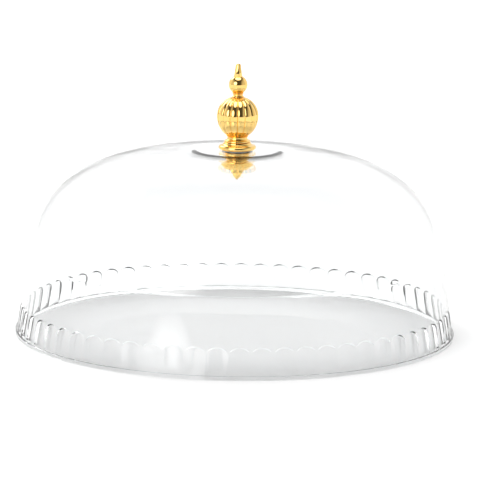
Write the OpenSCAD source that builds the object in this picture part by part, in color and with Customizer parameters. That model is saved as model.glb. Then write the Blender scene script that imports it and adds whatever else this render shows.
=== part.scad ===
// Clear domed lid for a cake stand: a rounded bell on a flared, fluted skirt,
// with a turned and plated finial knob bolted through the crown.
// The origin is the centre of the rim's underside, with +Z up. Millimetres.

/* [Dome] */
// Outer diameter at the rim bead
rim_d = 300; // [260:2:340]
// Height of the crown above the rim
crown_h = 125.6; // [115:0.2:135]
// Thickness of the wall
wall_t = 3; // [2.6:0.1:3.6]
// Height at which the skirt meets the rounded body
skirt_h = 53; // [46:1:58]
// How far the skirt flares outwards from the body to the rim
skirt_flare = 6.6; // [5:0.2:8]
// Exponent on the radius in the curve of the shoulder, where 2 is an ellipse
plan_power = 3.3; // [2.6:0.1:3.8]
// Exponent on the height in the curve of the shoulder, where 2 is an ellipse
side_power = 2.3; // [2:0.1:2.8]

/* [Flutes and boss] */
// Number of arched flutes round the skirt
flute_count = 63; // [54:1:72]
// Height of the top of each flute's arch
flute_top = 21; // [18:0.5:24]
// Depth of a flute at its middle
flute_depth = 0.8; // [0.4:0.1:1]
// Height of the bead along the rim
bead_h = 2.6; // [2:0.1:3.2]
// Diameter of the round boss on the crown
boss_d = 64; // [56:1:72]
// Height of the boss over the crown
boss_rise = 0.3; // [0.2:0.1:1.2]

/* [Finial] */
// Diameter of the knob's foot
foot_d = 25.6; // [24:0.2:28]
// Diameter of the lobed ball
melon_d = 28.6; // [26:0.2:31]
// Height of the lobed ball
melon_h = 26.5; // [25:0.5:28]
// Number of lobes round the ball
lobe_count = 16; // [12:2:20]
// Diameter of the small ball
ball_d = 12.8; // [12:0.1:13.6]
// Height of the tapered tip
spire_h = 8.8; // [7:0.2:11]

/* [Fastening] */
// Diameter of the threaded rod
stud_d = 4; // [3.6:0.1:4.2]
// Thickness of each clear washer
gasket_t = 0.6; // [0.4:0.1:0.8]
// Diameter of the cup under the crown
cup_d = 24.6; // [23:0.2:26]

/* [Hidden] */
$fn = 96;

// Dome: radii and heights of the outline
rim_r = rim_d / 2;
bead_out = 0.6;
bead_edge = 0.5;
body_r = rim_r - skirt_flare;
widest_share = 0.3;
widest_z = widest_share * crown_h;
flare_power = 1.3;
body_steps = 22;
flute_margin = 3;
skirt_bend_share = 0.72;
boss_r = boss_d / 2;
boss_z = crown_h + boss_rise;
boss_slope = 0.8;

// Running clearance on a radius
clearance = 0.05;
stud_r = stud_d / 2;
bore_r = stud_r + clearance;
bush_wall = 2.4;
bush_r = stud_r + bush_wall;
hole_r = bush_r + clearance;

// How far a cutting tool runs past the faces that it cuts
past = 1;

// Finial: heights of the stack, from the boss upwards
foot_z = boss_z + gasket_t;
foot_h = 5;
collar_z = foot_z + foot_h;
collar_h = 4.5;
melon_z = collar_z + collar_h;
neck_z = melon_z + melon_h;
neck_h = 2.8;
ball_z = neck_z + neck_h;
ball_h = 11;
spire_z = ball_z + ball_h;

// Finial: radii, and heights of the steps within each piece
foot_r = foot_d / 2;
foot_round = 1.6;
foot_dish_r = 9.8;
foot_dish_z = 3.8;
foot_top_r = 9.1;
collar_roll_r = 8.9;
collar_roll = 0.9;
collar_waist_r = 6.9;
collar_waist_low = 2.6;
collar_waist_high = 3.5;
collar_top_r = 7.5;
melon_r = melon_d / 2;
melon_base_r = 7.1;
melon_top_r = 3.5;
melon_wide_share = 0.52;
melon_wide = melon_wide_share * melon_h;
melon_steps = 9;
lobe_groove_r = 1.5;
lobe_groove_depth = 0.9;
lobe_groove_sweep = 96;
neck_end_r = 4;
neck_end_h = 0.4;
neck_waist_r = 3.2;
neck_taper_h = 0.6;
ball_r = ball_d / 2;
spire_base_r = 2.8;
spire_tip_r = 1.5;
spire_peg_r = 1.2;
spire_peg_h = 2.5;
spire_peg_gap = 0.2;

// Fastening: heights, from the crown's underside downwards
gasket_r = 10.5;
lower_gasket_r = 8.2;
lower_collar_h = 3.6;
lower_collar_r = 8.8;
lower_waist_r = 8;
lower_lip_h = 0.6;
lower_taper_h = 0.6;
cup_h = 5.5;
cup_r = cup_d / 2;
cup_round = 1.3;
cup_base_r = 7.2;
cup_base_round = 0.9;
cup_bowl_r = 9.1;
cup_side_r = 11.2;
recess_r = 6.2;
recess_h = 2;
washer_r = 3.9;
washer_t = 0.8;
nut_base_r = 5.4;
nut_base_h = 1.9;
nut_edge = 0.5;
nut_tip_r = 4.6;
nut_tip_h = 6;
nut_tip_power = 1.4;
nut_point_r = 0.6;
nut_bore_h = 4.4;
stud_end_gap = 0.4;
stud_in_ball = 6.5;
stud_chamfer = 0.4;

// Radius of the rounded body at a height, for a wall set in by an inset
function body_at(z, inset) =
    (body_r - inset)
    * pow(1 - pow(max(z - widest_z, 0) / (crown_h - inset - widest_z), side_power), 1 / plan_power);

// Height of the rounded body at a radius, for a wall set in by an inset
function body_height(r, inset) =
    widest_z + (crown_h - inset - widest_z)
    * pow(1 - pow(r / (body_r - inset), plan_power), 1 / side_power);

// Radius of the flared skirt at a height
function skirt_at(z, inset) =
    body_at(skirt_h, inset)
    + (rim_r - bead_out - body_at(skirt_h, 0)) * pow(1 - z / skirt_h, flare_power);

// Points of the rounded body, from the skirt up to the edge of the boss
function body_points(inset) = [
    for (i = [0 : body_steps])
        let (
            low = asin(pow((skirt_h - widest_z) / (crown_h - inset - widest_z), side_power / 2)),
            high = acos(pow(boss_r / (body_r - inset), plan_power / 2)),
            turn = low + (high - low) * i / body_steps
        )
        [
            (body_r - inset) * pow(cos(turn), 2 / plan_power),
            widest_z + (crown_h - inset - widest_z) * pow(sin(turn), 2 / side_power)
        ]
];

// Heights at which the skirt's outline bends
flute_land_z = flute_top + flute_margin;
skirt_bends = [bead_h, flute_land_z, skirt_bend_share * skirt_h];
under_z = body_height(boss_r, wall_t);

dome_outside = concat(
    [[rim_r - bead_edge, 0], [rim_r, bead_edge], [rim_r, bead_h - bead_edge]],
    [[rim_r - bead_out, bead_h]],
    [for (z = skirt_bends) [skirt_at(z, 0), z]],
    body_points(0),
    [[boss_r - boss_slope, boss_z], [hole_r, boss_z]]
);
inside_curve = concat(
    [[skirt_at(0, wall_t), 0]],
    [for (z = skirt_bends) [skirt_at(z, wall_t), z]],
    body_points(wall_t),
    [[hole_r, under_z]]
);
inside_count = len(inside_curve);
dome_inside = [for (i = [1 : inside_count]) inside_curve[inside_count - i]];

// One flute's cutter: a wide shallow round-ended channel that leans with the skirt
flute_pitch = 2 * PI * skirt_at(bead_h, 0) / flute_count;
flute_share = 0.94;
flute_half = flute_share * flute_pitch / 2;
cutter_r = (flute_half * flute_half + flute_depth * flute_depth) / (2 * flute_depth);
flute_run = flute_top - bead_h - flute_half;
skirt_lean = atan((skirt_at(bead_h, 0) - skirt_at(flute_land_z, 0)) / (flute_land_z - bead_h));

module flute_cutter() {
    translate([skirt_at(bead_h, 0) + cutter_r - flute_depth, 0, bead_h])
        rotate([0, -skirt_lean, 0]) {
            cylinder(h = flute_run, r = cutter_r);
            translate([0, 0, flute_run]) sphere(r = cutter_r);
        }
}

// The half of a cutter over the bead, so that the bead stays whole
module flute() {
    intersection() {
        flute_cutter();
        translate([skirt_at(flute_land_z, wall_t), -flute_pitch, bead_h])
            cube([rim_r, 2 * flute_pitch, flute_top]);
    }
}

// Turns an outline of [radius, height] points into a ring round the Z axis
module turned(points) {
    rotate_extrude() polygon(points);
}

// A flat ring
module washer(outer_r, inner_r, height) {
    difference() {
        cylinder(h = height, r = outer_r);
        translate([0, 0, -past]) cylinder(h = height + 2 * past, r = inner_r);
    }
}

module dome_shell() {
    color([0.93, 0.95, 0.96, 0.35])
        difference() {
            turned(concat(dome_outside, dome_inside));
            for (i = [0 : flute_count - 1])
                rotate([0, 0, (i + 0.5) * 360 / flute_count]) flute();
        }
}

module upper_gasket() {
    color([0.9, 0.92, 0.93, 0.6])
        translate([0, 0, boss_z]) washer(gasket_r, hole_r, gasket_t);
}

module hole_bush() {
    color("whitesmoke")
        translate([0, 0, under_z - gasket_t])
            washer(bush_r, bore_r, foot_z - under_z + gasket_t);
}

module base_flange() {
    color("gold")
        translate([0, 0, foot_z])
            rotate_extrude() {
                translate([foot_r - foot_round, foot_round]) circle(r = foot_round, $fn = 48);
                polygon([
                    [bore_r, 0], [foot_r - foot_round, 0], [foot_r - foot_round, 2 * foot_round],
                    [foot_dish_r, foot_dish_z], [foot_top_r, foot_h], [bore_r, foot_h]
                ]);
            }
}

module collar_ring() {
    roll_centre_r = collar_roll_r - collar_roll;
    color("gold")
        translate([0, 0, collar_z])
            rotate_extrude() {
                translate([roll_centre_r, collar_roll]) circle(r = collar_roll, $fn = 48);
                polygon([
                    [bore_r, 0], [roll_centre_r, 0], [roll_centre_r, 2 * collar_roll],
                    [collar_waist_r, collar_waist_low], [collar_waist_r, collar_waist_high],
                    [collar_top_r, collar_h], [bore_r, collar_h]
                ]);
            }
}

// Outline of the ball: half an ellipse under its widest line and half over it
under_c = melon_wide / sqrt(1 - pow(melon_base_r / melon_r, 2));
over_c = (melon_h - melon_wide) / sqrt(1 - pow(melon_top_r / melon_r, 2));
melon_outline = concat(
    [for (i = [0 : melon_steps])
        let (turn = acos(melon_base_r / melon_r) * (i / melon_steps - 1))
        [melon_r * cos(turn), melon_wide + under_c * sin(turn)]],
    [for (i = [1 : melon_steps])
        let (turn = acos(melon_top_r / melon_r) * i / melon_steps)
        [melon_r * cos(turn), melon_wide + over_c * sin(turn)]]
);

// One groove between two lobes, an arc of round bar along the ball's side
module lobe_groove() {
    translate([0, 0, melon_wide])
        rotate([90, 0, 0])
            rotate([0, 0, -lobe_groove_sweep / 2])
                rotate_extrude(angle = lobe_groove_sweep)
                    translate([melon_r + lobe_groove_r - lobe_groove_depth, 0])
                        circle(r = lobe_groove_r, $fn = 32);
}

module melon_ball() {
    color("gold")
        translate([0, 0, melon_z])
            difference() {
                turned(concat(melon_outline, [[bore_r, melon_h], [bore_r, 0]]));
                for (i = [0 : lobe_count - 1])
                    rotate([0, 0, i * 360 / lobe_count]) lobe_groove();
            }
}

module neck_bobbin() {
    color("gold")
        translate([0, 0, neck_z])
            turned([
                [bore_r, 0], [neck_end_r, 0], [neck_end_r, neck_end_h],
                [neck_waist_r, neck_end_h + neck_taper_h],
                [neck_waist_r, neck_h - neck_end_h - neck_taper_h],
                [neck_end_r, neck_h - neck_end_h], [neck_end_r, neck_h], [bore_r, neck_h]
            ]);
}

module bead_ball() {
    color("gold")
        translate([0, 0, ball_z])
            difference() {
                intersection() {
                    translate([0, 0, ball_h / 2]) sphere(r = ball_r);
                    cylinder(h = ball_h, r = ball_r + past);
                }
                translate([0, 0, -past])
                    cylinder(h = stud_in_ball + stud_end_gap + past, r = bore_r);
                translate([0, 0, ball_h - spire_peg_h - spire_peg_gap])
                    cylinder(h = spire_peg_h + past, r = spire_peg_r + clearance);
            }
}

module spire() {
    shoulder_z = spire_h - spire_tip_r;
    color("gold")
        translate([0, 0, spire_z]) {
            turned([
                [0, -spire_peg_h], [spire_peg_r, -spire_peg_h], [spire_peg_r, 0],
                [spire_base_r, 0], [spire_tip_r, shoulder_z], [0, shoulder_z]
            ]);
            translate([0, 0, shoulder_z]) sphere(r = spire_tip_r);
        }
}

// Heights under the crown, each one the underside of the piece above
lower_gasket_z = under_z - gasket_t;
lower_collar_z = lower_gasket_z - lower_collar_h;
cup_z = lower_collar_z - cup_h;
washer_z = cup_z + recess_h - washer_t;
nut_base_z = washer_z - nut_base_h;
nut_tip_z = nut_base_z - nut_tip_h;
stud_low_z = washer_z - nut_bore_h + stud_end_gap;
stud_high_z = ball_z + stud_in_ball;

module stud() {
    color("silver")
        turned([
            [0, stud_low_z], [stud_r - stud_chamfer, stud_low_z], [stud_r, stud_low_z + stud_chamfer],
            [stud_r, stud_high_z - stud_chamfer], [stud_r - stud_chamfer, stud_high_z], [0, stud_high_z]
        ]);
}

module lower_gasket() {
    color([0.9, 0.92, 0.93, 0.6])
        translate([0, 0, lower_gasket_z]) washer(lower_gasket_r, hole_r, gasket_t);
}

module lower_collar() {
    color("gold")
        translate([0, 0, lower_collar_z])
            turned([
                [bore_r, 0], [lower_collar_r, 0], [lower_collar_r, lower_lip_h],
                [lower_waist_r, lower_lip_h + lower_taper_h],
                [lower_waist_r, lower_collar_h - lower_lip_h - lower_taper_h],
                [lower_collar_r, lower_collar_h - lower_lip_h],
                [lower_collar_r, lower_collar_h], [bore_r, lower_collar_h]
            ]);
}

module lower_cup() {
    color("gold")
        translate([0, 0, cup_z])
            difference() {
                rotate_extrude() {
                    translate([cup_r - cup_round, cup_h - cup_round]) circle(r = cup_round, $fn = 48);
                    polygon([
                        [bore_r, 0], [cup_base_r, 0], [cup_bowl_r, cup_base_round],
                        [cup_side_r, cup_h - 2 * cup_round], [cup_r - cup_round, cup_h],
                        [bore_r, cup_h]
                    ]);
                }
                translate([0, 0, -past]) cylinder(h = recess_h + past, r = recess_r);
            }
}

module spring_washer() {
    color("silver")
        translate([0, 0, washer_z]) washer(washer_r, bore_r, washer_t);
}

module cap_nut() {
    steps = 7;
    tip = [for (i = [0 : steps])
        [
            nut_point_r + (nut_tip_r - nut_point_r) * (1 - pow(i / steps, nut_tip_power)),
            nut_base_z - (nut_tip_h - nut_point_r) * i / steps
        ]];
    color("gold")
        difference() {
            union() {
                turned(concat(
                    [[0, washer_z], [nut_base_r - nut_edge, washer_z]],
                    [[nut_base_r, washer_z - nut_edge], [nut_base_r, nut_base_z]],
                    tip,
                    [[0, nut_tip_z + nut_point_r]]
                ));
                translate([0, 0, nut_tip_z + nut_point_r]) sphere(r = nut_point_r);
            }
            translate([0, 0, washer_z - nut_bore_h]) cylinder(h = nut_bore_h + past, r = bore_r);
        }
}

dome_shell();
upper_gasket();
hole_bush();
base_flange();
collar_ring();
melon_ball();
neck_bobbin();
bead_ball();
spire();
stud();
lower_gasket();
lower_collar();
lower_cup();
spring_washer();
cap_nut();
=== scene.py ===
"""Clear cake dome with a gold finial: its finished pieces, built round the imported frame.

Laid out as an add-on. Sizes and colours are properties, each group of pieces has its own operator,
and one panel lists them. Run as a script, it makes every piece and the stage in order.
"""

import math

import bmesh
import bpy
from mathutils import Euler, Matrix, Vector


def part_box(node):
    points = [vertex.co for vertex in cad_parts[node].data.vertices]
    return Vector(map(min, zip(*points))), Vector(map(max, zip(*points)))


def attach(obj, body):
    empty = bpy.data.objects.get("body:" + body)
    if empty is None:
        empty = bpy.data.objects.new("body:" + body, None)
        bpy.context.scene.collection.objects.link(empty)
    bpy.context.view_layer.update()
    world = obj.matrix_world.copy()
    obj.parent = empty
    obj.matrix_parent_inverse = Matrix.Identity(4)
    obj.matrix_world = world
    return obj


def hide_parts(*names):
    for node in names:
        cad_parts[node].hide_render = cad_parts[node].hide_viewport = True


bl_info = {
    "name": "Cake Dome Maker",
    "version": (1, 0, 0),
    "blender": (4, 5, 0),
    "location": "3D View > Sidebar > Cake Dome",
    "description": "Builds a clear fluted cake dome and its gold finial round a packed frame",
    "category": "Object",
}

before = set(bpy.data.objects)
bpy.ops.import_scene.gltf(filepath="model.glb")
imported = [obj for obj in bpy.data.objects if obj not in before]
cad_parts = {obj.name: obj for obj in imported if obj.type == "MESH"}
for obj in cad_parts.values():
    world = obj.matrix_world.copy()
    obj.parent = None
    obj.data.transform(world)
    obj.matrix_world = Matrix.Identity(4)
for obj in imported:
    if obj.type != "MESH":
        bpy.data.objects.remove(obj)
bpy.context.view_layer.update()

MM = 0.001
TURN = 2 * math.pi
DOME_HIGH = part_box("dome_shell")[1]
FIT = 0.05 * MM                              # gap between a round part and the bore it sits in
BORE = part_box("stud")[1].x + FIT             # radius of the bore in each piece on the rod
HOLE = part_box("hole_bush")[1].x + FIT        # radius of the hole in the crown
CROWN = 125.6 * MM


# ---------------------------------------------------------------- sizes and colours


def length(name, default, description, low=0.0):
    """A length property, shown in the scene's units."""
    return bpy.props.FloatProperty(
        name=name, description=description, default=default, min=low, unit="LENGTH", precision=5)


def tint(name, default, description):
    """A colour property."""
    return bpy.props.FloatVectorProperty(
        name=name, description=description, default=default, size=3, min=0, max=1, subtype="COLOR")


class CakeDomeShellSizes(bpy.types.PropertyGroup):
    """Sizes of the clear bell"""

    rim_r: length("Rim radius", DOME_HIGH.x, "Outer radius of the bead along the rim")
    crown: length("Crown height", CROWN, "Height of the crown above the rim")
    boss_rise: length("Boss rise", DOME_HIGH.z - CROWN, "Height of the round boss over the crown")
    boss_r: length("Boss radius", 32 * MM, "Radius of the round boss")
    wall: length("Wall", 3 * MM, "Thickness of the wall")
    flare: length("Flare", 6.6 * MM, "How far the skirt flares from the body to the rim")
    skirt: length("Skirt height", 53 * MM, "Height at which the skirt meets the body")
    bead: length("Bead height", 2.6 * MM, "Height of the bead along the rim")
    bead_out: length("Bead proud", 0.6 * MM, "How far the bead stands out of the skirt")
    arch_top: length("Arch top", 21 * MM, "Height of the top of each flute")
    arch_foot: length("Arch foot", 17 * MM, "Height at which two arches meet")
    flute_depth: length("Flute depth", 1.15 * MM, "Depth of a flute under its arch")
    flutes: bpy.props.IntProperty(
        name="Flutes", description="Number of flutes round the skirt", default=63, min=12)
    plan_power: bpy.props.FloatProperty(
        name="Radius exponent", description="Exponent on the radius in the shoulder's curve",
        default=3.3, min=2)
    side_power: bpy.props.FloatProperty(
        name="Height exponent", description="Exponent on the height in the shoulder's curve",
        default=2.3, min=2)


class CakeDomeFinialSizes(bpy.types.PropertyGroup):
    """Sizes of the gold finial's details"""

    lobes: bpy.props.IntProperty(
        name="Lobes", description="Number of lobes round the ball", default=16, min=8)
    groove: length("Groove", 1.0 * MM, "Depth of the grooves between the lobes")
    facets: bpy.props.IntProperty(
        name="Spire facets", description="Number of flat sides on the tapered tip", default=8, min=5)


class CakeDomeColours(bpy.types.PropertyGroup):
    """Colours of the finishes"""

    acrylic: tint("Acrylic", (0.985, 0.99, 0.99), "Tint of the clear acrylic")
    gold: tint("Gold", (1.0, 0.68, 0.23), "Colour of the bright gold plating")
    gold_warm: tint("Warm gold", (0.97, 0.6, 0.17), "Deeper tone that drifts through the plating")
    silicone: tint("Silicone", (0.93, 0.94, 0.94), "Colour of the clear washers")
    nylon: tint("Nylon", (0.86, 0.85, 0.8), "Colour of the bush")
    steel: tint("Steel", (0.6, 0.61, 0.63), "Colour of the rod and the spring washer")


# ---------------------------------------------------------------- shader maths


class Wire:
    """An output socket of a node tree. A sum, difference or product of wires adds its Math node."""

    def __init__(self, tree, socket):
        self.tree = tree
        self.socket = socket

    def math(self, operation, *values):
        """A Math node of any operation, on this tree."""
        return add_node(self.tree, "ShaderNodeMath", {"operation": operation}, values)

    def __add__(self, other):
        return self.math("ADD", self, other)

    __radd__ = __add__

    def __sub__(self, other):
        return self.math("SUBTRACT", self, other)

    def __rsub__(self, other):
        return self.math("SUBTRACT", other, self)

    def __mul__(self, other):
        return self.math("MULTIPLY", self, other)

    __rmul__ = __mul__

    def step(self, low, high):
        """0 under low, 1 over high, and a smooth rise between them."""
        return add_node(self.tree, "ShaderNodeMapRange", {"interpolation_type": "SMOOTHSTEP"},
                        {"Value": self, "From Min": low, "From Max": high})


def add_node(tree, kind, settings=None, values=(), output=0):
    """Adds a node, sets it up, fills its sockets with values or wires, and returns one output."""
    node = tree.nodes.new(kind)
    for name, value in (settings or {}).items():
        setattr(node, name, value)
    pairs = values.items() if isinstance(values, dict) else enumerate(values)
    for key, value in pairs:
        if isinstance(value, Wire):
            tree.links.new(value.socket, node.inputs[key])
        else:
            node.inputs[key].default_value = value
    return Wire(tree, node.outputs[output]) if node.outputs else None


def mix_colours(tree, share, first, second):
    """A colour between two colours."""
    pair = [(*c, 1) if isinstance(c, (tuple, list)) else c for c in (first, second)]
    return add_node(tree, "ShaderNodeMix", {"data_type": "RGBA"}, {0: share, 6: pair[0], 7: pair[1]}, 2)


def object_place(tree):
    """The place on the piece, in metres."""
    return add_node(tree, "ShaderNodeTexCoord", output="Object")


def noise_at(tree, place, scale, detail=2.0, roughness=0.5):
    """Smooth noise of one size."""
    return add_node(tree, "ShaderNodeTexNoise", {},
                    {"Vector": place, "Scale": scale, "Detail": detail, "Roughness": roughness})


def bumped(tree, height, distance, strength=1.0):
    """A normal bent by a height field."""
    return add_node(tree, "ShaderNodeBump", {},
                    {"Strength": strength, "Distance": distance, "Height": height})


def new_finish(name):
    """An empty material, its tree, and a place wire."""
    material = bpy.data.materials.new(name)
    material.use_nodes = True
    tree = material.node_tree
    tree.nodes.clear()
    return material, tree, object_place(tree)


def close_finish(material, tree, values):
    """Ends a material in one Principled shader."""
    shader = add_node(tree, "ShaderNodeBsdfPrincipled", {}, values)
    add_node(tree, "ShaderNodeOutputMaterial", {}, {"Surface": shader})
    return material


def acrylic_finish(colours):
    """Clear moulded acrylic: polished, with the faint ripple of a moulding."""
    material, tree, place = new_finish("acrylic_finish")
    ripple = noise_at(tree, place, 38, 1.0)
    tint_drift = noise_at(tree, place, 12, 2.0)
    return close_finish(material, tree, {
        "Base Color": mix_colours(tree, tint_drift, tuple(colours.acrylic), (0.97, 0.98, 0.985)),
        "Roughness": 0.0,
        "IOR": 1.49,
        "Transmission Weight": 1.0,
        "Normal": bumped(tree, ripple, 0.2 * MM, 0.35),
    })


def gold_finish(colours):
    """Bright gold plating over a cast core: warm drift, and a faint skin of plating."""
    material, tree, place = new_finish("gold_finish")
    drift = noise_at(tree, place, 60, 2.0)
    skin = noise_at(tree, place, 900, 2.0)
    rubbed = noise_at(tree, place, 260, 4.0, 0.65)
    colour = mix_colours(tree, drift.step(0.35, 0.7), tuple(colours.gold), tuple(colours.gold_warm))
    return close_finish(material, tree, {
        "Base Color": colour,
        "Metallic": 1.0,
        "Roughness": 0.025 + 0.035 * rubbed.step(0.4, 0.75),
        "Normal": bumped(tree, skin, 0.02 * MM, 0.35),
    })


def silicone_finish(colours):
    """Clear silicone: milky and soft."""
    material, tree, place = new_finish("silicone_finish")
    cloud = noise_at(tree, place, 300, 2.0)
    return close_finish(material, tree, {
        "Base Color": mix_colours(tree, cloud, tuple(colours.silicone), (0.95, 0.93, 0.88)),
        "Roughness": 0.3 + 0.15 * cloud,
        "IOR": 1.41,
        "Transmission Weight": 0.4,
    })


def nylon_finish(colours):
    """Natural nylon, moulded."""
    material, tree, place = new_finish("nylon_finish")
    grain = noise_at(tree, place, 700, 3.0)
    return close_finish(material, tree, {
        "Base Color": mix_colours(tree, grain, tuple(colours.nylon), (0.78, 0.77, 0.72)),
        "Roughness": 0.42 + 0.16 * grain,
        "Normal": bumped(tree, grain, 0.02 * MM, 0.4),
    })


def steel_finish(colours):
    """Zinc-plated steel with the rings of a rolled thread."""
    material, tree, place = new_finish("steel_finish")
    thread_pitch = 0.7 * MM
    height = add_node(tree, "ShaderNodeSeparateXYZ", {}, {"Vector": place}, "Z")
    turned = height * (TURN / thread_pitch)
    thread = turned.math("SINE", turned)
    mottle = noise_at(tree, place, 500, 3.0)
    return close_finish(material, tree, {
        "Base Color": mix_colours(tree, mottle, tuple(colours.steel), (0.72, 0.72, 0.7)),
        "Metallic": 1.0,
        "Roughness": 0.24 + 0.2 * mottle,
        "Normal": bumped(tree, thread, 0.12 * MM, 0.8),
    })


# ---------------------------------------------------------------- modelling helpers


def deselect_all():
    """Leaves edit mode and selects nothing."""
    if bpy.context.object and bpy.context.object.mode != "OBJECT":
        bpy.ops.object.mode_set(mode="OBJECT")
    bpy.ops.object.select_all(action="DESELECT")


def arc(centre_r, centre_z, radius, start, end, count):
    """Points of an arc in an outline, from one angle to another, in degrees."""
    turns = [math.radians(start + (end - start) * i / count) for i in range(count + 1)]
    return [(centre_r + radius * math.cos(t), centre_z + radius * math.sin(t)) for t in turns]


def turn_outline(name, outline, steps):
    """Turns an outline of (radius, height) points into a piece, as on a lathe."""
    deselect_all()
    bpy.ops.mesh.primitive_plane_add(size=MM, location=(0, 0, 0))
    piece = bpy.context.object
    piece.name = name
    piece.data.name = name
    bpy.ops.object.mode_set(mode="EDIT")
    bpy.ops.mesh.select_all(action="SELECT")
    bpy.ops.mesh.merge(type="CENTER")
    here = Vector((0, 0, 0))
    first = True
    for radius, height in outline:
        there = Vector((radius, 0, height))
        if first:
            bpy.ops.transform.translate(value=there - here)
            first = False
        else:
            bpy.ops.mesh.extrude_region_move(TRANSFORM_OT_translate={"value": there - here})
        here = there
    bpy.ops.mesh.select_all(action="SELECT")
    bpy.ops.mesh.spin(steps=steps, angle=TURN, center=(0, 0, 0), axis=(0, 0, 1))
    bpy.ops.mesh.select_all(action="SELECT")
    bpy.ops.mesh.remove_doubles(threshold=0.002 * MM)
    bpy.ops.mesh.normals_make_consistent(inside=False)
    bpy.ops.object.mode_set(mode="OBJECT")
    return piece


def select_faces(piece, wanted):
    """Selects the faces of a piece in edit mode that a test picks."""
    mesh = bmesh.from_edit_mesh(piece.data)
    for face in mesh.faces:
        if wanted(face):
            face.select_set(True)
    bmesh.update_edit_mesh(piece.data)


def finish_piece(piece, material, body, nodes, smooth_angle=30):
    """Smooths a piece, gives it its finish and its body, and hides the nodes it stands for."""
    deselect_all()
    piece.select_set(True)
    bpy.context.view_layer.objects.active = piece
    bpy.ops.object.transform_apply(location=True, rotation=True, scale=True)
    bpy.ops.object.shade_smooth_by_angle(angle=math.radians(smooth_angle))
    piece.data.materials.clear()
    piece.data.materials.append(material)
    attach(piece, body)
    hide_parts(*nodes)
    return piece


def finish_of(make):
    """A finish, made the first time it is asked for."""
    return bpy.data.materials.get(make.__name__) or make(bpy.context.scene.cake_dome_colours)


# ---------------------------------------------------------------- the clear bell


WIDEST = 0.3             # height of the body's widest ring, as a share of the crown's height


def body_radius(s, height, inset):
    """Radius of the rounded body at a height, for a wall set in by an inset."""
    widest_z = WIDEST * s.crown
    rise = max(height - widest_z, 0) / (s.crown - inset - widest_z)
    return (s.rim_r - s.flare - inset) * (1 - rise ** s.side_power) ** (1 / s.plan_power)


def skirt_radius(s, height, inset):
    """Radius of the flared skirt at a height."""
    flare_power = 1.3
    join = body_radius(s, s.skirt, 0)
    spread = s.rim_r - s.bead_out - join
    return join - inset + spread * (1 - height / s.skirt) ** flare_power


def body_curve(s, inset, count):
    """Outline of the rounded body, from the skirt up to the boss, with its points closer low down."""
    widest_z = WIDEST * s.crown
    crowding = 1.5
    full_r = s.rim_r - s.flare - inset
    full_h = s.crown - inset - widest_z
    low = math.asin(((s.skirt - widest_z) / full_h) ** (s.side_power / 2))
    high = math.acos((s.boss_r / full_r) ** (s.plan_power / 2))
    points = []
    for i in range(count + 1):
        turn = low + (high - low) * (i / count) ** crowding
        points.append((full_r * math.cos(turn) ** (2 / s.plan_power),
                       widest_z + full_h * math.sin(turn) ** (2 / s.side_power)))
    return points


def skirt_heights(s):
    """Heights of the rings on the outside of the skirt, close together under the arches."""
    arch = s.arch_top
    panel_top = arch - 1.4 * MM
    land_top = arch + 1.6 * MM
    panel_rings, above_rings = 8, 10
    panel = [s.bead + (panel_top - s.bead) * i / panel_rings for i in range(1, panel_rings + 1)]
    lip = [arch - drop * MM for drop in (1.0, 0.65, 0.35, 0.12, 0)]
    land = [arch + 0.5 * MM, land_top]
    turns = [math.pi / 2 * i / (above_rings + 1) for i in range(1, above_rings + 1)]
    above = [land_top + (s.skirt - land_top) * math.sin(turn) for turn in turns]
    return panel + lip + land + above


def bell_outline(s):
    """Closed outline of the bell: up the outside, through the hole, and down the inside."""
    edge = 0.5 * MM
    flat_r = 20 * MM
    boss_ease, ease_points = 5 * MM, 8
    inner_points = 16
    bead = arc(s.rim_r - edge, edge, edge, -90, 0, 3)
    bead += arc(s.rim_r - edge, s.bead - edge, edge, 0, 75, 3)
    outside = bead + [(skirt_radius(s, s.bead, 0), s.bead)]
    outside += [(skirt_radius(s, z, 0), z) for z in skirt_heights(s)]
    outside += body_curve(s, 0, 32)
    boss_z = s.crown + s.boss_rise
    edge_r, edge_z = outside[-1]
    for i in range(1, ease_points + 1):
        climb = (1 - math.cos(math.pi * i / ease_points)) / 2
        outside.append((edge_r - boss_ease * i / ease_points, edge_z + (boss_z - edge_z) * climb))
    outside += [(flat_r, boss_z), (HOLE, boss_z)]
    under_z = body_curve(s, s.wall, 1)[-1][1]
    inside = [(HOLE, under_z), (flat_r, under_z)]
    inside += list(reversed(body_curve(s, s.wall, 24)))
    turns = [math.pi / 2 * i / inner_points for i in reversed(range(inner_points))]
    inside += [(skirt_radius(s, s.skirt * math.sin(t), s.wall), s.skirt * math.sin(t)) for t in turns]
    return outside + inside + [outside[0]]


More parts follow.
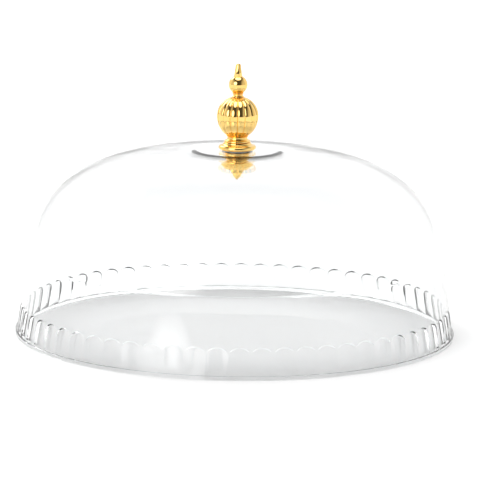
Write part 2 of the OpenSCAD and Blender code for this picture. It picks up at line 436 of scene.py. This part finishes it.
def press_flutes(piece, s):
    """Presses the arched flutes into the outside of the skirt.

    Each ring of the skirt is bent to run along the arches, so that an arch has a clean edge,
    and the panel under it is pushed in. The ridges between flutes stay on the skirt's surface.
    """
    pitch = TURN / s.flutes
    slack = 0.01 * MM
    lip_height = 1.1 * MM
    rim_fade = 0.5           # share of the depth that is lost by the time a flute reaches the bead
    corner, point = 2.2, 1.35        # how square the arch's shoulders are, and how sharp its feet
    mesh = bmesh.new()
    mesh.from_mesh(piece.data)
    for vert in mesh.verts:
        radius = math.hypot(vert.co.x, vert.co.y)
        height = vert.co.z
        if not s.bead + slack < height < s.skirt - slack:
            continue
        if radius < skirt_radius(s, height, s.wall / 2):
            continue
        angle = math.atan2(vert.co.y, vert.co.x)
        across = abs(2 * ((angle / pitch) % 1) - 1)
        swell = max(1 - across ** corner, 0) ** (1 / point)
        arch = s.arch_foot + (s.arch_top - s.arch_foot) * swell
        depth = 0.0
        if height <= s.arch_top + slack:
            below = s.arch_top - height
            lip = min(below / lip_height, 1)
            lip = lip * lip * (3 - 2 * lip)
            fade = 1 - rim_fade * (below / (s.arch_top - s.bead))
            depth = s.flute_depth * lip * fade * max(1 - across ** 2, 0)
            height = s.bead + (height - s.bead) * (arch - s.bead) / (s.arch_top - s.bead)
        else:
            share = (s.skirt - height) / (s.skirt - s.arch_top)
            height += (arch - s.arch_top) * share ** 3
        radius = skirt_radius(s, height, 0) - depth
        vert.co = (radius * math.cos(angle), radius * math.sin(angle), height)
    mesh.to_mesh(piece.data)
    mesh.free()


class CAKEDOME_OT_bell(bpy.types.Operator):
    """Turn the clear bell, press its flutes and polish it"""

    bl_idname = "cakedome.bell"
    bl_label = "Clear bell"

    def execute(self, context):
        s = context.scene.cake_dome_shell
        segments = 12
        bell = turn_outline("bell", bell_outline(s), s.flutes * segments)
        press_flutes(bell, s)
        finish_piece(bell, finish_of(acrylic_finish), "dome",
                     ["dome_shell"], 24)
        return {"FINISHED"}


# ---------------------------------------------------------------- the finial


def placed(outline, base_z):
    """An outline in millimetres, from a base upwards, in metres in the frame."""
    return [(r * MM, base_z + z * MM) for r, z in outline]


def bored(outline, base_z):
    """A closed outline of a ring round the rod, from the outer side's points."""
    bore_mm = BORE / MM
    ring = [(bore_mm, outline[0][1]), *outline, (bore_mm, outline[-1][1])]
    return placed([*ring, ring[0]], base_z)


class CAKEDOME_OT_foot(bpy.types.Operator):
    """Turn the finial's foot and the collar on it"""

    bl_idname = "cakedome.foot"
    bl_label = "Foot and collar"

    def execute(self, context):
        gold = finish_of(gold_finish)
        low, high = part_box("base_flange")
        foot_r = high.x / MM
        foot = [(foot_r - 2.2, 0), *arc(foot_r - 1.6, 1.6, 1.6, -90, 80, 14)]
        foot += arc(foot_r - 1.5, 5.2, 2.0, 262, 190, 8)
        foot += [(9.1, 4.75), (8.85, 5.0)]
        piece = turn_outline("foot", bored(foot, low.z), 96)
        finish_piece(piece, gold, "knob", ["base_flange"], 40)
        base_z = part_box("collar_ring")[0].z
        collar = [(7.6, 0), *arc(8.0, 0.85, 0.85, -90, 75, 10)]
        collar += arc(8.5, 3.1, 1.6, 235, 150, 8)
        collar += [(7.45, 4.2), (7.5, 4.35), (7.3, 4.5)]
        piece = turn_outline("collar", bored(collar, base_z), 96)
        finish_piece(piece, gold, "knob", ["collar_ring"], 40)
        return {"FINISHED"}


def press_lobes(piece, lobes, groove):
    """Presses the grooves between the lobes, deepest round the middle of the ball."""
    near_bore = BORE + 0.5 * MM
    fade_width = 8 * MM
    round_share = 0.55       # the rest of a lobe is flat-topped, with a narrow groove
    mesh = bmesh.new()
    mesh.from_mesh(piece.data)
    for vert in mesh.verts:
        radius = math.hypot(vert.co.x, vert.co.y)
        if radius < near_bore:
            continue
        angle = math.atan2(vert.co.y, vert.co.x)
        off_crest = abs(2 * ((angle * lobes / TURN) % 1) - 1)
        crest = round_share * (1 - off_crest ** 2) + (1 - round_share) * (1 - off_crest ** 12)
        fade = min((radius - BORE) / fade_width, 1)
        shrunk = radius - groove * fade * (1 - crest)
        vert.co.x *= shrunk / radius
        vert.co.y *= shrunk / radius
    mesh.to_mesh(piece.data)
    mesh.free()


class CAKEDOME_OT_ball(bpy.types.Operator):
    """Turn the lobed ball and press its grooves"""

    bl_idname = "cakedome.ball"
    bl_label = "Lobed ball"

    def execute(self, context):
        s = context.scene.cake_dome_finial
        low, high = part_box("melon_ball")
        full_r, base_r, top_r = 14.3, 7.1, 3.5
        height = (high.z - low.z) / MM
        middle = 0.52 * height
        under = middle / math.sqrt(1 - (base_r / full_r) ** 2)
        over = (height - middle) / math.sqrt(1 - (top_r / full_r) ** 2)
        first, last = math.acos(base_r / full_r), math.acos(top_r / full_r)
        points = 22
        steps_per_lobe = 14
        rising = [first * (i / points - 1) for i in range(points + 1)]
        closing = [last * i / points for i in range(1, points + 1)]
        outline = [(full_r * math.cos(turn), middle + under * math.sin(turn)) for turn in rising]
        outline += [(full_r * math.cos(turn), middle + over * math.sin(turn)) for turn in closing]
        ball = turn_outline("melon", bored(outline, low.z), s.lobes * steps_per_lobe)
        press_lobes(ball, s.lobes, s.groove)
        finish_piece(ball, finish_of(gold_finish), "knob",
                     ["melon_ball"], 40)
        return {"FINISHED"}


class CAKEDOME_OT_neck(bpy.types.Operator):
    """Turn the neck and the small ball over the lobed ball"""

    bl_idname = "cakedome.neck"
    bl_label = "Neck and small ball"

    def execute(self, context):
        gold = finish_of(gold_finish)
        low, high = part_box("neck_bobbin")
        tall = (high.z - low.z) / MM
        neck = [(3.7, 0), (4.0, 0.12), (4.0, 0.35), *arc(4.3, tall / 2, tall / 2 - 0.45, 240, 120, 12)]
        neck += [(4.0, tall - 0.35), (4.0, tall - 0.12), (3.7, tall)]
        piece = turn_outline("neck", bored(neck, low.z), 72)
        finish_piece(piece, gold, "knob", ["neck_bobbin"], 40)
        low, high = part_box("bead_ball")
        ball_r = high.y / MM
        half = (high.z - low.z) / MM / 2
        flat = math.degrees(math.asin(half / ball_r))
        ball = arc(0, half, ball_r, -flat, flat, 28)
        piece = turn_outline("small_ball", bored(ball, low.z), 80)
        finish_piece(piece, gold, "knob", ["bead_ball"], 40)
        return {"FINISHED"}


class CAKEDOME_OT_spire(bpy.types.Operator):
    """Make the tapered, faceted tip"""

    bl_idname = "cakedome.spire"
    bl_label = "Spire"

    def execute(self, context):
        s = context.scene.cake_dome_finial
        top_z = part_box("spire")[1].z
        base_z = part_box("bead_ball")[1].z
        shoulder, cap = 0.55 * MM, 0.35 * MM
        taper_h = top_z - base_z - shoulder - cap
        deselect_all()
        bpy.ops.mesh.primitive_cone_add(
            vertices=s.facets, radius1=3.0 * MM, radius2=1.75 * MM, depth=taper_h,
            location=(0, 0, base_z + taper_h / 2), rotation=(0, 0, math.radians(12)))
        piece = bpy.context.object
        piece.name = "spire_tip"
        bpy.ops.object.mode_set(mode="EDIT")
        bpy.ops.mesh.select_all(action="DESELECT")
        select_faces(piece, lambda face: face.normal.z > 0.9)
        bpy.ops.mesh.extrude_region_move(TRANSFORM_OT_translate={"value": (0, 0, shoulder)})
        bpy.ops.transform.resize(value=(0.78, 0.78, 1), center_override=(0, 0, top_z))
        bpy.ops.mesh.extrude_region_move(TRANSFORM_OT_translate={"value": (0, 0, cap)})
        bpy.ops.transform.resize(value=(0.45, 0.45, 1), center_override=(0, 0, top_z))
        bpy.ops.object.mode_set(mode="OBJECT")
        bevel = piece.modifiers.new("Edges", "BEVEL")
        bevel.width = 0.16 * MM
        bevel.segments = 3
        bevel.limit_method = "ANGLE"
        bevel.angle_limit = math.radians(20)
        bpy.ops.object.modifier_apply(modifier=bevel.name)
        finish_piece(piece, finish_of(gold_finish), "knob", ["spire"], 40)
        return {"FINISHED"}


class CAKEDOME_OT_under(bpy.types.Operator):
    """Turn the collar, cup and pointed nut under the crown"""

    bl_idname = "cakedome.under"
    bl_label = "Fastening under the crown"

    def execute(self, context):
        gold = finish_of(gold_finish)
        base_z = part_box("lower_collar")[0].z
        collar = [(8.5, 0), *arc(8.45, 0.35, 0.35, -90, 60, 5), *arc(8.9, 1.8, 0.95, 250, 110, 10)]
        collar += [*arc(8.45, 3.25, 0.35, -60, 90, 5), (8.3, 3.6)]
        piece = turn_outline("under_collar", bored(collar, base_z), 96)
        finish_piece(piece, gold, "cup", ["lower_collar"], 40)
        low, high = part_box("lower_cup")
        cup_r = high.x / MM
        recess_r, recess_h = 6.2, 2.0
        waist_r, slimming = 7.2, 0.82
        cup = [(recess_r, recess_h), (recess_r, 0.3), *arc(recess_r + 0.3, 0.3, 0.3, 180, 270, 3)]
        cup += [(7.1, 0), *arc(waist_r, 5.0, 5.0, -90, -12, 14)]
        cup = [(r if r < waist_r else waist_r + (r - waist_r) * slimming, z) for r, z in cup]
        cup += [*arc(cup_r - 0.95, 4.55, 0.95, -35, 90, 8)]
        ring = [(BORE / MM, recess_h), *cup, (BORE / MM, 5.5), (BORE / MM, recess_h)]
        piece = turn_outline("under_cup", placed(ring, low.z), 96)
        finish_piece(piece, gold, "cup", ["lower_cup"], 40)
        low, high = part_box("cap_nut")
        top = (high.z - low.z) / MM
        tip_r, tip_z = 0.6, 0.3
        swell_r, swell_h, swell_points = 4.0, 5.7, 12
        tip = [(0, 0), (0.35, 0.06), (tip_r, tip_z)]
        for i in range(1, swell_points + 1):
            share = i / swell_points
            tip.append((tip_r + swell_r * (1 - (1 - share) ** 1.4), tip_z + swell_h * share))
        nut = tip + [(5.2, top - 1.9), (5.4, top - 1.7), (5.4, top - 0.4), (5.1, top)]
        thread_end = top - 4.4
        nut += [(BORE / MM, top), (BORE / MM, thread_end), (0, thread_end)]
        piece = turn_outline("pointed_nut", placed(nut, low.z), 72)
        finish_piece(piece, gold, "nut", ["cap_nut"], 30)
        return {"FINISHED"}


class CAKEDOME_OT_hidden(bpy.types.Operator):
    """Give the rod, bush, washers and gaskets their finishes"""

    bl_idname = "cakedome.hidden"
    bl_label = "Rod, bush and washers"

    def execute(self, context):
        finishes = {
            "stud": steel_finish,
            "spring_washer": steel_finish,
            "hole_bush": nylon_finish,
            "upper_gasket": silicone_finish,
            "lower_gasket": silicone_finish,
        }
        for node, make in finishes.items():
            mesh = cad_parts[node].data
            mesh.materials.clear()
            mesh.materials.append(finish_of(make))
        return {"FINISHED"}


# ---------------------------------------------------------------- the stage


def unit(elevation, azimuth):
    """A direction by its elevation and its azimuth from +Y towards +X, in degrees."""
    e, a = math.radians(elevation), math.radians(azimuth)
    return (math.cos(e) * math.sin(a), math.cos(e) * math.cos(a), math.sin(e))


def facing(tree, direction, elevation, azimuth):
    """Cosine of the angle between a direction and a fixed one."""
    return add_node(tree, "ShaderNodeVectorMath", {"operation": "DOT_PRODUCT"},
                    {0: direction, 1: unit(elevation, azimuth)}, "Value")


def studio_sky(world):
    """A plain soft studio: a dim room, pale walls at the sides, a white backdrop and soft lights.

    Past the floor the camera sees plain white. Every other ray sees the room.
    """
    world.use_nodes = True
    tree = world.node_tree
    tree.nodes.clear()
    way = add_node(tree, "ShaderNodeTexCoord", output="Generated")
    east, north, up = [add_node(tree, "ShaderNodeSeparateXYZ", {}, {"Vector": way}, k) for k in range(3)]

    # dim towards the camera's end of the room, paler to both sides
    dim_room, pale_side, backdrop_tone = 0.08, 0.75, 1.0
    side = east.math("ABSOLUTE", east)
    tone = dim_room + (pale_side - dim_room) * side.step(0.45, 0.95)

    # one white backdrop across the far end
    backdrop = north.step(0.0, 0.25) * (1 - up.step(0.55, 0.8))
    tone = tone * (1 - backdrop) + backdrop_tone * backdrop

    # a broad soft light overhead and one on each side
    overhead = up.step(0.86, 0.93)
    left_box = facing(tree, way, 20, 215).step(0.93, 0.96)
    right_box = facing(tree, way, 35, 320).step(0.96, 0.98)
    overhead_light, left_light, right_light = 3.0, 3.0, 4.0
    tone = tone + overhead_light * overhead + left_light * left_box + right_light * right_box

    seen = add_node(tree, "ShaderNodeLightPath", output="Is Camera Ray")
    strength = tone * (1 - seen) + seen
    light = add_node(tree, "ShaderNodeBackground", {}, {"Color": (1, 1, 1, 1), "Strength": strength})
    add_node(tree, "ShaderNodeOutputWorld", {}, {"Surface": light})


def floor_finish():
    """Plain pale floor, the same for every ray."""
    material, tree, _ = new_finish("pale_floor")
    white = add_node(tree, "ShaderNodeBsdfDiffuse", {}, {"Color": (0.85, 0.85, 0.85, 1)})
    lift = add_node(tree, "ShaderNodeEmission", {}, {"Color": (1, 1, 1, 1), "Strength": 0.2})
    plain = add_node(tree, "ShaderNodeAddShader", {}, [white, lift])
    add_node(tree, "ShaderNodeOutputMaterial", {}, {"Surface": plain})
    return material


class CAKEDOME_OT_stage(bpy.types.Operator):
    """Lay the floor, light the studio and set the camera"""

    bl_idname = "cakedome.stage"
    bl_label = "Stage"

    def execute(self, context):
        scene = context.scene
        scene.view_settings.view_transform = "Standard"
        scene.world = bpy.data.worlds.new("Studio")
        studio_sky(scene.world)
        deselect_all()
        under_rim = 0.02 * MM
        bpy.ops.mesh.primitive_plane_add(size=14, location=(0, 0, -under_rim))
        floor = context.object
        floor.name = "floor"
        bpy.ops.object.transform_apply(location=True, rotation=True, scale=True)
        floor.data.materials.append(floor_finish())
        aim = Vector((4.2 * MM, 0, 60 * MM))
        distance, elevation, roll = 2.4, math.radians(10.9), math.radians(0.83)
        data = bpy.data.cameras.new("Camera")
        data.lens = 257.8
        data.clip_start, data.clip_end = 0.05, 60
        camera = bpy.data.objects.new("Camera", data)
        scene.collection.objects.link(camera)
        back = Vector((0, -math.cos(elevation), math.sin(elevation)))
        camera.location = aim + distance * back
        tilt = Euler((math.pi / 2 - elevation, 0, 0)).to_matrix()
        camera.rotation_euler = (tilt @ Matrix.Rotation(roll, 3, "Z")).to_euler()
        scene.camera = camera
        return {"FINISHED"}


# ---------------------------------------------------------------- panel and registration


class CAKEDOME_PT_panel(bpy.types.Panel):
    """Lists the sizes, the colours and the pieces"""

    bl_idname = "CAKEDOME_PT_panel"
    bl_label = "Cake Dome"
    bl_space_type = "VIEW_3D"
    bl_region_type = "UI"
    bl_category = "Cake Dome"

    def draw(self, context):
        for group in (context.scene.cake_dome_shell, context.scene.cake_dome_finial,
                      context.scene.cake_dome_colours):
            box = self.layout.box()
            for name in group.__annotations__:
                box.prop(group, name)
        for operator in PIECES:
            self.layout.operator(operator.bl_idname)


GROUPS = (CakeDomeShellSizes, CakeDomeFinialSizes, CakeDomeColours)
PIECES = (CAKEDOME_OT_bell, CAKEDOME_OT_foot, CAKEDOME_OT_ball, CAKEDOME_OT_neck, CAKEDOME_OT_spire,
          CAKEDOME_OT_under, CAKEDOME_OT_hidden, CAKEDOME_OT_stage)


def register():
    """Registers the groups, operators and panel, and hangs the groups on the scene."""
    for made in (*GROUPS, *PIECES, CAKEDOME_PT_panel):
        bpy.utils.register_class(made)
    bpy.types.Scene.cake_dome_shell = bpy.props.PointerProperty(type=CakeDomeShellSizes)
    bpy.types.Scene.cake_dome_finial = bpy.props.PointerProperty(type=CakeDomeFinialSizes)
    bpy.types.Scene.cake_dome_colours = bpy.props.PointerProperty(type=CakeDomeColours)


def unregister():
    """Takes away what register added."""
    del bpy.types.Scene.cake_dome_shell
    del bpy.types.Scene.cake_dome_finial
    del bpy.types.Scene.cake_dome_colours
    for made in reversed((*GROUPS, *PIECES, CAKEDOME_PT_panel)):
        bpy.utils.unregister_class(made)


def main():
    """Makes every piece and the stage."""
    register()
    for operator in PIECES:
        group, name = operator.bl_idname.split(".")
        getattr(getattr(bpy.ops, group), name)()


if __name__ == "__main__":
    main()
